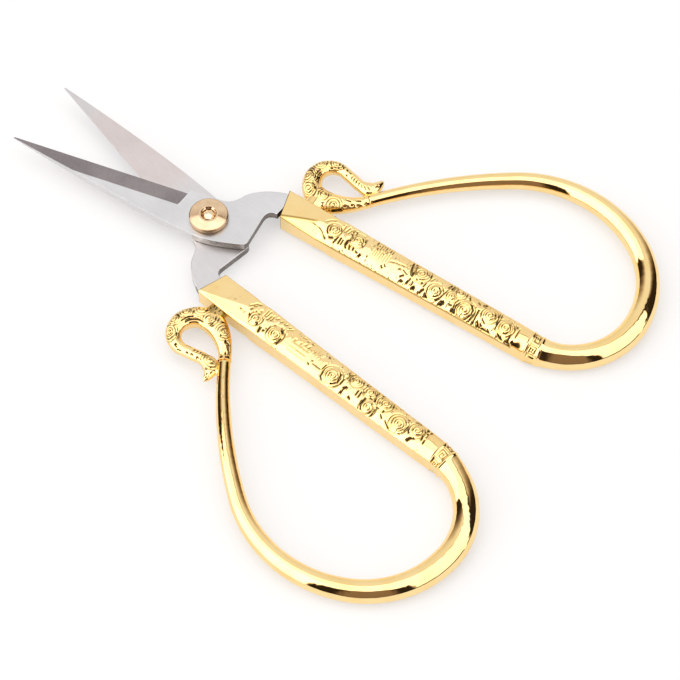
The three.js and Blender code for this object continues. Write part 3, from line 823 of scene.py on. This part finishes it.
# Painted dark lines for the colour only: along the crease and the ferrule's ridge, on the outer wall beside
# the web, and over the ferrule's face against the blade.
def edge_lines(along, across, up):
    lines = []
    for column, share, end in EDGE_LINES:
        off = np.hypot(across - across[:, [column]], up - up[:, [column]])
        lines.append(share * line(off, EDGE_WIDTH) * (1 - smooth(along, end - EDGE_FADE, end)))
    outer_wall = (climb < WALL_SHARE) & (side_sign > 0)
    edges = np.maximum(*lines) * (quadrant == 1)
    beside_web = line(along - WEB_SIDE_PLACE, WEB_SIDE_LENGTH) * outer_wall
    edges = np.maximum(edges, WEB_SIDE_SHADE * beside_web)
    return np.maximum(edges, SEAT_SHADE * (along < SEAT_LENGTH))


print("relief rises", SPIRAL_HEIGHT, "mm")

# %% [markdown]
# The stations lie close together where there is relief and further apart on the smooth rod: each run
# of them has a start, an end and a step. The ferrule's face is oblique, so its first sections lean,
# and its edge is broken by a slightly smaller first section. The carved stretch is a little uneven
# all over, as worked metal is. A span is told by where it begins, is full, fades and ends.

# %% Shank and loop
FERRULE_SKEW = math.radians(16.5)
FINE_STEP = 0.11
SMOOTH_STEP = 0.9
RING_WIDTH = 0.3
RING_HEIGHT = 0.22
GROOVE_DEPTH = 0.27
NECK_DENT = 0.26
WORKED_DEPTH = 0.022
SIZE_MARKS = [0, 0.2, 11, 24, 64, *rod_marks]
WIDTHS = [7.4, 7.6, 7.65, 7.15, 6.55, 6.2, 6.1, 5.5, 4.2, 3.1]
HEIGHTS = [5.5, 5.7, 5.7, 5.9, 6.3, 6.4, 6.1, 5.5, 4.2, 3.1]
WALLS = ([0, 11, 24], [5.4, 4.0, 3.2])
NEAR_WALLS = ([0, 4, 11, 24], [5.4, 4.5, 3.1, 2.4])
FAR_WALLS = ([0, 11, 17, 24, 33, 49, 61], [5.4, 5.0, 4.9, 4.5, 4.0, 3.3, 2.6])
FLAT_WIDTHS = [7.05, 0.1]
CROWN_EDGES = (FERRULE_LENGTH - 1, FERRULE_LENGTH + 5)
ROUND_EDGES = (SHANK_LENGTH - 1, SHANK_LENGTH + 9)
NEAR_ROUND_EDGES = (SHANK_LENGTH - 4.6, SHANK_LENGTH - 2)
DENT_SPAN = (SHANK_LENGTH - 4.2, SHANK_LENGTH, SHANK_LENGTH + 6, SHANK_LENGTH + 20)
WORKED_SPAN = (12, 13.5, CARVING_END - 1, CARVING_END)
STATION_RUNS = [
    (0, 0.4, 0.1),
    (0.4, FERRULE_LENGTH - 1, SMOOTH_STEP),
    (FERRULE_LENGTH - 1, SHANK_LENGTH - 2.4, FINE_STEP),
    (SHANK_LENGTH - 2.4, FRET_FROM - 0.6, FINE_STEP * 2),
    (FRET_FROM - 0.6, FRET_TO + 0.6, FINE_STEP * 0.9),
    (FRET_TO + 0.6, rod_marks[-1], SMOOTH_STEP),
]
along = np.concatenate([*(np.arange(*run) for run in STATION_RUNS), rod_marks[-1:]])[:, None]
width = np.interp(along, SIZE_MARKS, WIDTHS)
height = np.interp(along, SIZE_MARKS, HEIGHTS)
wall = np.where(quadrant == 1, np.interp(along, *NEAR_WALLS), np.interp(along, *WALLS))
wall = np.where((quadrant == 0) | (quadrant == 2), np.interp(along, *FAR_WALLS), wall)
flat = np.interp(along, [0, FERRULE_LENGTH], FLAT_WIDTHS)
crowned = smooth(along, *CROWN_EDGES)
rounded = np.where(quadrant == 1, smooth(along, *NEAR_ROUND_EDGES), smooth(along, *ROUND_EDGES))
ridge_lean = RIDGE_SHIFT * np.clip(along / FERRULE_LENGTH, 0, 1)
across, up = section(width, height, wall, flat, crowned, rounded, ridge_lean)
dent = NECK_DENT * within(along, *DENT_SPAN) * np.sin(climb * TAU / 2) * (quadrant == 1)
across, up = push_out(across, up, -dent)
spread = np.broadcast_to(along, across.shape)
rod_hollow, raised = shank_relief(spread, across, up, width, turns * width * TAU / 8)
rings = np.max([line(along - mark, RING_WIDTH) for mark in (FRET_FROM, FRET_TO)], axis=0)
lean = np.tan(FERRULE_SKEW) * (1 - np.clip(along / FERRULE_LENGTH, 0, 1))
rod_ahead = -across * lean
worked = within(along, *WORKED_SPAN) * (climb > WALL_SHARE)
lifted = RING_HEIGHT * rings + SPIRAL_HEIGHT * raised - GROOVE_DEPTH * rod_hollow
lifted = lifted + WORKED_DEPTH * worked * uneven(across.shape)
rod_across, rod_up = push_out(across, up, lifted)
rod_edges = edge_lines(along, across, up)
rod_places, rod_headings = stations(FERRULE_FACE, rod_heading, rod_legs, along[:, 0])


def shank_and_loop(half):
    bm = bmesh.new()
    # The colour's shade takes the relief's depth and the painted dark lines together.
    shade = np.maximum(rod_hollow, rod_edges)
    roll(bm, rod_places, rod_headings, rod_across, rod_up, rod_ahead, shade)
    add_casting(bm, half, "shank_and_loop")


for half in PLACES:
    shank_and_loop(half)

# %% [markdown]
# ## Scroll
# At the end of the loop the rod passes through a ring and turns back in a scroll, whose tail curls
# the other way. It carries the same bosses as the shank, smaller, pits, and ticks towards the tail.
# It is one more rolled grid, with its own marks: here a place is the distance from the ring
# and the distance around the rod from the middle of a face, towards the outer side of the bend.

# %% Marks of the scroll
SCROLL_BOSSES_ABOVE = [
    (8.3, 1.3, 0.8, -1), (11.4, -0.2, 0.7, 1), (15.1, 1.3, 1.3, 1), (18.1, 1.2, 1.4, -1),
    (22.4, 0.9, 1.0, 1), (26.2, 0.5, 0.8, -1),
]
SCROLL_BOSSES_BELOW = [
    (6.8, 0.9, 0.9, 1), (11.6, 0.0, 0.8, -1), (14.2, 1.4, 1.1, 1), (17.5, 1.0, 1.2, -1),
    (20.5, 1.0, 1.1, 1), (23.5, 0.9, 0.9, -1), (35.6, -0.4, 0.8, 1),
]
SCROLL_STROKES_ABOVE = [
    (1.1, 1.3, 1.2, 1.3, 0.2), (2.9, 1.4, 3.0, 1.4, 0.2), (4.1, 1.2, 4.3, 1.2, 0.2),
    (5.7, 1.5, 5.8, 1.5, 0.24), (2.0, 0.3, 2.9, 0.1, 0.13), (4.4, 0.2, 5.4, -0.2, 0.12),
    (10.7, -0.4, 10.8, -0.4, 0.17),
    (12.7, -0.2, 12.8, -0.1, 0.17), (14.0, 0.0, 14.6, -0.3, 0.2), (15.2, -0.3, 15.9, 0.0, 0.2),
    (18.8, -0.2, 19.2, 0.5, 0.18), (19.3, -0.8, 21.4, -0.7, 0.15), (19.6, -1.4, 20.9, -1.4, 0.15),
    (24.8, -1.2, 25.4, -1.2, 0.2), (26.9, -0.7, 27.1, -0.7, 0.17), (30.0, -0.9, 30.1, -0.9, 0.18),
    (28.0, 0.5, 28.2, -0.1, 0.12), (29.2, 0.5, 29.4, 0.2, 0.14), (30.2, 0.4, 30.4, 0.3, 0.15),
    (37.7, -0.4, 37.9, -0.4, 0.22), (6.6, 2.3, 8.2, 2.6, 0.4),
]
SCROLL_STROKES_BELOW = [
    (0.8, 0.8, 2.0, 1.1, 0.16), (2.0, 1.1, 3.4, 1.0, 0.2), (1.1, 0.2, 1.6, 0.2, 0.2),
    (3.6, 1.3, 4.0, 1.0, 0.22), (4.0, 0.6, 4.7, 0.6, 0.26), (6.1, -0.2, 6.4, -0.1, 0.16),
    (9.4, -0.5, 9.6, -0.9, 0.14),
    (9.9, -0.2, 10.0, -1.0, 0.15), (15.8, -0.9, 19.8, -0.8, 0.15), (12.2, -1.6, 19.0, -1.7, 0.2),
    (17.0, -1.3, 18.6, -1.3, 0.12), (23.9, -1.0, 24.5, -0.8, 0.2), (26.9, 0.4, 26.9, 0.9, 0.15),
    (26.9, 0.9, 27.4, 0.9, 0.15), (28.0, 1.2, 28.4, 1.2, 0.15), (30.2, 0.9, 30.3, 0.9, 0.18),
    (31.4, 0.8, 31.5, 0.8, 0.2), (33.0, 1.0, 33.2, 1.0, 0.17), (37.0, -0.1, 37.2, 0.0, 0.15),
    (38.2, -0.6, 38.3, -0.5, 0.15), (38.6, 0.3, 38.7, 0.3, 0.13), (39.4, 0.0, 39.5, 0.0, 0.13),
]
TICK_SPAN = (30.5, 31.5, 36.0, 37.0)
TICK_PITCH = 0.8
TICK_MIDDLE = -0.5
TICK_LEAN = 0.4
TICK_EDGES = (0.3, 0.7)
TICK_SHARE = 0.7
print(len(SCROLL_STROKES_ABOVE) + len(SCROLL_STROKES_BELOW), "strokes on a scroll")

# %% Scroll
RING_LENGTH = 0.8
SCROLL_START = (RING_LENGTH + 0.1, RING_LENGTH + 0.4)
SCROLL_LEGS = [(RING_LENGTH, 0), (12.5, -53.6), (4.8, -192), (4.1, 0), (4.3, 100)]
SCROLL_RIPPLES = 1.6
SCROLL_DEPTH = 0.22
SCROLL_RISE = 0.12
scroll_marks = np.cumsum([leg_length(*leg) for leg in SCROLL_LEGS])
SCROLL_SIZE_MARKS = [0, 0.8, 1.0, 6, 11, 19, 24, 28.6, 34, 36.2, 38, 39.6, scroll_marks[-1]]
SCROLL_DIAMETERS = [3.3, 3.3, 3.1, 4.1, 4.7, 4.8, 3.8, 3.0, 3.1, 4.3, 2.8, 1.5, 0.5]
TAIL_HEIGHT = 3.0
BEND_PLACE = 18.0
BEND_LENGTH = 6
BEND_SHIFT = 0.35
FOOT_PLACE = 11.0
FOOT_LENGTH = 4
FOOT_BULGE = 1.2
TAIL_PLACE = 36.4
TAIL_LENGTH = 2.2
TAIL_SHIFT = 0.8
ring_place, ring_heading = walk(FERRULE_FACE, rod_heading, rod_legs, rod_marks[-1])


def scroll_relief(along, aside):
    bosses = (SCROLL_BOSSES_ABOVE, SCROLL_BOSSES_BELOW)
    strokes_of_faces = (SCROLL_STROKES_ABOVE, SCROLL_STROKES_BELOW)
    deep, raised, marks = both_faces(turns < 2, along, aside, bosses, strokes_of_faces, SCROLL_RIPPLES)
    off = np.abs(aside - TICK_MIDDLE)
    ticks = groove(along + TICK_LEAN * aside, TICK_PITCH) * (1 - smooth(off, *TICK_EDGES))
    ticks = ticks * within(along, *TICK_SPAN)
    deep = np.maximum(deep, np.maximum(marks, TICK_SHARE * ticks))
    start = smooth(along, *SCROLL_START)
    return deep * start, raised * start


fine = np.arange(0, scroll_marks[-1], FINE_STEP)
along = np.concatenate([fine, scroll_marks[-1:]])[:, None]
thick = np.interp(along, SCROLL_SIZE_MARKS, SCROLL_DIAMETERS)
tall = np.where(along > scroll_marks[2], np.minimum(thick, TAIL_HEIGHT), thick)
across, up = section(thick, tall, tall, thick, 1, 1)
angle = turns * TAU / 4
across = across - BEND_SHIFT * line(along - BEND_PLACE, BEND_LENGTH)
across = across - TAIL_SHIFT * line(along - TAIL_PLACE, TAIL_LENGTH)
across = across + FOOT_BULGE * line(along - FOOT_PLACE, FOOT_LENGTH) * np.clip(np.cos(angle), 0, 1)
aside = thick / 2 * np.where(turns < 2, TAU / 4 - angle, angle - 3 * TAU / 4)
scroll_hollow, raised = scroll_relief(np.broadcast_to(along, aside.shape), aside)
scroll_across, scroll_up = push_out(across, up, SCROLL_RISE * raised - SCROLL_DEPTH * scroll_hollow)
scroll_places, scroll_headings = stations(ring_place, ring_heading, SCROLL_LEGS, along[:, 0])


def scroll(half):
    bm = bmesh.new()
    roll(bm, scroll_places, scroll_headings, scroll_across, scroll_up, np.zeros_like(aside), scroll_hollow)
    add_casting(bm, half, "scroll")


for half in PLACES:
    scroll(half)

# %% [markdown]
# A short web joins the scroll to the ferrule, and the tail is fused to the rod where they touch. In a
# casting such corners fill up, so both are stout round bars as high as what they join, laid along the
# line between the two middles. A bar is a short rolled grid too; the web's bar has painted shade in
# brown on its lower side.

# %% Web and tail joint
WEB_PLACE = 5.6
WEB_WIDTH = 5.0
WEB_HEIGHT = 4.3
# Brown painted shade on the lower side of the web.
WEB_UNDER_SHADE = 0.62
WEB_SHORT = 1.4
UNDER_EDGES = (0.4, -0.4)
WEB_STROKES = [
    (3.9, 1.2, 4.5, 0.7, 0.16), (4.0, 0.1, 4.6, -0.1, 0.16), (3.9, -1.1, 4.4, -1.0, 0.16),
    (5.0, 1.4, 5.4, 1.0, 0.14), (5.2, -0.6, 5.6, -0.9, 0.14),
]
JOINT_DISTANCE = 3.4
JOINT_DIAMETER = 1.8
BAR_STEP = 0.15


def bar(bm, first, second, width, height, marks, painted_shade):
    span = second - first
    along = np.append(np.arange(0, span.length, BAR_STEP), span.length)[:, None]
    wide, tall = np.full_like(along, width), np.full_like(along, height)
    across, up = section(wide, tall, tall, wide, 1, 1)
    spread = np.broadcast_to(along, across.shape)
    # Strokes and painted shade only on a bar's lower side.
    hollow_and_shade = np.maximum(strokes(spread, across, marks), painted_shade) * smooth(up, *UNDER_EDGES)
    across, up = push_out(across, up, -SCROLL_DEPTH * hollow_and_shade)
    heading = math.atan2(span.y, span.x)
    places, headings = stations(first, heading, [(span.length, 0)], along[:, 0])
    roll(bm, places, headings, across, up, np.zeros_like(across), hollow_and_shade)


def joints(half):
    bm = bmesh.new()
    web_end = walk(FERRULE_FACE, rod_heading, rod_legs, WEB_PLACE)[0]
    foot = walk(ring_place, ring_heading, SCROLL_LEGS, scroll_marks[1])[0]
    foot = foot + (web_end - foot).normalized() * WEB_SHORT
    bar(bm, web_end, foot, WEB_WIDTH, WEB_HEIGHT, WEB_STROKES, WEB_UNDER_SHADE)
    tail = walk(ring_place, ring_heading, SCROLL_LEGS, (scroll_marks[3] + scroll_marks[4]) / 2)[0]
    rod = walk(FERRULE_FACE, rod_heading, rod_legs, rod_marks[-1] - JOINT_DISTANCE)[0]
    bar(bm, tail, rod, JOINT_DIAMETER, JOINT_DIAMETER, [], 0)
    add_casting(bm, half, "web_and_joint")


for half in PLACES:
    joints(half)

# %% [markdown]
# ## Pivot
# The washers are turned: one profile from the bore over the shallow cone and the round rim, spun
# about the axis. The rivet is spun too, but its upper end was peened with a hammer, so that end is a
# coarse cap whose points are pushed about a little and whose faces stay flat.

# %% Washers
LAP_STEPS = 96
WASHER_LOW = 2.425
WASHER_HIGH = 4.225
RIM_HIGH = 3.8
RIM_RADIUS = 4.75
RIM_ROUND = 0.35
BORE_RADIUS = 1.6
SINK_RADIUS = 1.95
SINK_LOW = 3.725
FLAT_RADIUS = 2.35
ROUND_STEPS = 5


def quarter_round(radius, height, start):
    points = []
    for step in range(ROUND_STEPS + 1):
        angle = math.radians(start + 90 * step / ROUND_STEPS)
        points.append((radius + RIM_ROUND * math.cos(angle), height + RIM_ROUND * math.sin(angle)))
    return points


def spun(bm, profile):
    verts = [bm.verts.new((radius, 0, height)) for radius, height in profile]
    edges = [bm.edges.new(pair) for pair in zip(verts, verts[1:])]
    bmesh.ops.spin(
        bm, geom=verts + edges, axis=(0, 0, 1), cent=(0, 0, 0), angle=TAU, steps=LAP_STEPS, use_merge=True
    )
    bmesh.ops.remove_doubles(bm, verts=bm.verts, dist=WELD)


def washer(half):
    profile = [
        (BORE_RADIUS, WASHER_LOW),
        *quarter_round(RIM_RADIUS - RIM_ROUND, WASHER_LOW + RIM_ROUND, -90),
        *quarter_round(RIM_RADIUS - RIM_ROUND, RIM_HIGH - RIM_ROUND, 0),
        (FLAT_RADIUS, WASHER_HIGH),
        (SINK_RADIUS, WASHER_HIGH),
        (BORE_RADIUS, SINK_LOW),
        (BORE_RADIUS, WASHER_LOW),
    ]
    bm = bmesh.new()
    spun(bm, profile)
    name = f"{half}_turned_washer"
    add_piece(bm, name, PLACES[half], "lower_half", f"{half}_washer", "pivot_brass", brass)


for half in PLACES:
    washer(half)

# %% Rivet
RIVET_RADIUS = 1.5
HEAD_RADIUS = 1.75
CAP_RADIUS = 1.4
RECESS = 0.15
DOME = 0.6
BLOWS = 8
CAP_RINGS = 8
BLOW_DEPTH = 0.12
BLOW_SEED = 5
blow = random.Random(BLOW_SEED)


def rivet():
    bm = bmesh.new()
    bmesh.ops.create_uvsphere(bm, u_segments=BLOWS, v_segments=CAP_RINGS, radius=CAP_RADIUS)
    whole = [*bm.verts, *bm.edges, *bm.faces]
    bmesh.ops.bisect_plane(bm, geom=whole, plane_co=(0, 0, 0), plane_no=(0, 0, -1), clear_outer=True)
    bmesh.ops.scale(bm, vec=(1, 1, DOME / CAP_RADIUS), verts=bm.verts)
    bmesh.ops.triangulate(bm, faces=bm.faces)
    for vert in bm.verts:
        vert.co += Vector([blow.uniform(-BLOW_DEPTH, BLOW_DEPTH) for _ in range(3)])
        vert.co.z += WASHER_HIGH - RECESS - DOME
    rims = [edge for edge in bm.edges if edge.is_boundary]
    bmesh.ops.holes_fill(bm, edges=rims)
    facets = len(bm.faces)
    pin_profile = [
        (0, -WASHER_HIGH),
        (HEAD_RADIUS, -WASHER_HIGH),
        (RIVET_RADIUS, -SINK_LOW),
        (RIVET_RADIUS, SINK_LOW - DOME),
        (0, SINK_LOW - DOME),
    ]
    spun(bm, pin_profile)
    bm.faces.ensure_lookup_table()
    for face in bm.faces[facets:]:
        face.smooth = True
    place = PLACES["upper"]
    add_piece(bm, "peened_rivet", place, "lower_half", "pivot_rivet", "pivot_brass", hammered_brass)


rivet()

# %% [markdown]
# ## Table and light
# The scissors lie on a white table. They touch it with the lower washer and the two loops, so the
# table leans a little against the frame. The room around them is what polished gold shows: a pale
# backdrop, a bright ceiling, a wide window in front on the left, a lamp on the right and a dim hall
# behind the camera. Between them the room is dark and brown, which draws the long dark lines along
# the rods. It is a world of flat panels, each given by its middle, half its width, its lower and
# upper edge in degrees, its level, the softness of its sides and its colour. The edges are told by
# the angle in the panel's own upright plane, so they run straight.

# %% Table
TABLE_WHITE = (0.85, 0.83, 0.825, 1)
WHITE_SHARE = 0.5
TABLE_SIZE = 3.0
LOOP_UNDER = Vector((-82, 0, 0.93))
WASHER_EDGE = Vector((4.4, 0, 0))
table_paper, wire = new_finish("table_paper")
paper = wire.node("ShaderNodeBsdfDiffuse", None, {"Color": TABLE_WHITE})
white = wire.node("ShaderNodeEmission", None, {"Strength": 1.0})
path = wire.node("ShaderNodeLightPath", output="Is Camera Ray")
mirrored = wire.maths("MAXIMUM", path.other("Is Glossy Ray"), path.other("Is Transmission Ray"))
looked_at = wire.maths("MAXIMUM", path, mirrored)
surface = wire.node("ShaderNodeMixShader", None, {0: looked_at * WHITE_SHARE, 1: paper, 2: white})
wire.node("ShaderNodeOutputMaterial", None, {"Surface": surface})
bm = bmesh.new()
sheet = bmesh.ops.create_grid(bm, x_segments=2, y_segments=2, size=TABLE_SIZE)["verts"]
rest = LOOP_UNDER - WASHER_EDGE
lean = Matrix.Rotation(math.atan2(rest.z, -rest.x), 4, "Y")
bmesh.ops.transform(bm, matrix=Matrix.Translation(WASHER_EDGE * MM) @ lean, verts=sheet)
table = new_object(bm, "table", table_paper)
print("table leans", round(math.degrees(math.atan2(rest.z, -rest.x)), 2), "degrees")

# %% Room
DARK_ROOM = 0.03
LOW_SHARE = 0.9
TOP_EDGE = 1.0
WHITE = (1, 1, 1, 1)
ROOM_BROWN = (1, 0.68, 0.45, 1)
HALL_BROWN = (1, 0.7, 0.52, 1)
LOW_EDGES = (0, 0.85)
PANELS = {
    "backdrop": (308, 40, -60, 60.5, 0.95, 17, WHITE),
    "ceiling": (300, 220, 62, 118, 1.75, 2, WHITE),
    "hall": (128, 20, 3, 66, 0.27, 5, HALL_BROWN),
    "window": (52, 37, -30, 75, 2.4, 2, WHITE),
    "lamp": (191, 29, 8, 76, 1.65, 2, WHITE),
}
world = bpy.data.worlds.new("room")
bpy.context.scene.world = world
world.use_nodes = True
world.node_tree.nodes.clear()
wire = Wire(world.node_tree)
towards = wire.node("ShaderNodeTexCoord", output="Generated")
east = wire.node("ShaderNodeSeparateXYZ", None, {0: towards}, "X")
north, height = east.other("Y"), east.other("Z")
DEGREES = 360 / TAU
light, tint = DARK_ROOM, ROOM_BROWN
for middle, half_width, low, high, level, edge, colour in PANELS.values():
    facing = math.radians(middle)
    ahead = east * math.cos(facing) + north * math.sin(facing)
    aside = north * math.cos(facing) - east * math.sin(facing)
    off = wire.maths("ABSOLUTE", wire.maths("ARCTAN2", aside, ahead)) * DEGREES
    pitch = wire.maths("ARCTAN2", height, ahead) * DEGREES
    mask = (half_width + edge - off).soft_step(0, 2 * edge)
    mask = mask * pitch.soft_step(low - TOP_EDGE, low + TOP_EDGE)
    mask = mask * (1 - pitch.soft_step(high - TOP_EDGE, high + TOP_EDGE))
    light = light + mask * (level - light)
    tint = mask.mix(tint, colour)
light = light * (LOW_SHARE + (1 - LOW_SHARE) * height.soft_step(*LOW_EDGES))
seen = wire.node("ShaderNodeLightPath", output="Is Camera Ray")
light = light + seen * (1 - light)
tint = seen.mix(tint, WHITE)
sky = wire.node("ShaderNodeBackground", None, {"Color": tint, "Strength": light})
wire.node("ShaderNodeOutputWorld", None, {"Surface": sky})
print("room of", *PANELS)

# %% [markdown]
# ## Camera
# The photograph looks down at about sixty degrees, from beside the handles, through a long lens.

# %% Camera
VIEW_AZIMUTH = math.radians(217.14)
VIEW_ELEVATION = math.radians(59.68)
VIEW_DISTANCE = 592.6
VIEW_ANGLE = math.radians(15.36)
AIM = Vector((-44.97, 7.08, stack_height / 2))
back = Vector((math.sin(VIEW_AZIMUTH), -math.cos(VIEW_AZIMUTH), 0)) * math.cos(VIEW_ELEVATION)
back.z = math.sin(VIEW_ELEVATION)
lens = bpy.data.cameras.new("view")
lens.sensor_fit = "HORIZONTAL"
lens.angle = VIEW_ANGLE
camera = bpy.data.objects.new("view", lens)
camera.location = (AIM + back * VIEW_DISTANCE) * MM
camera.rotation_euler = (-back).to_track_quat("-Z", "Y").to_euler()
bpy.context.scene.collection.objects.link(camera)
bpy.context.scene.camera = camera
bpy.context.scene.view_settings.view_transform = "Standard"
print("camera", round(VIEW_DISTANCE), "mm away")
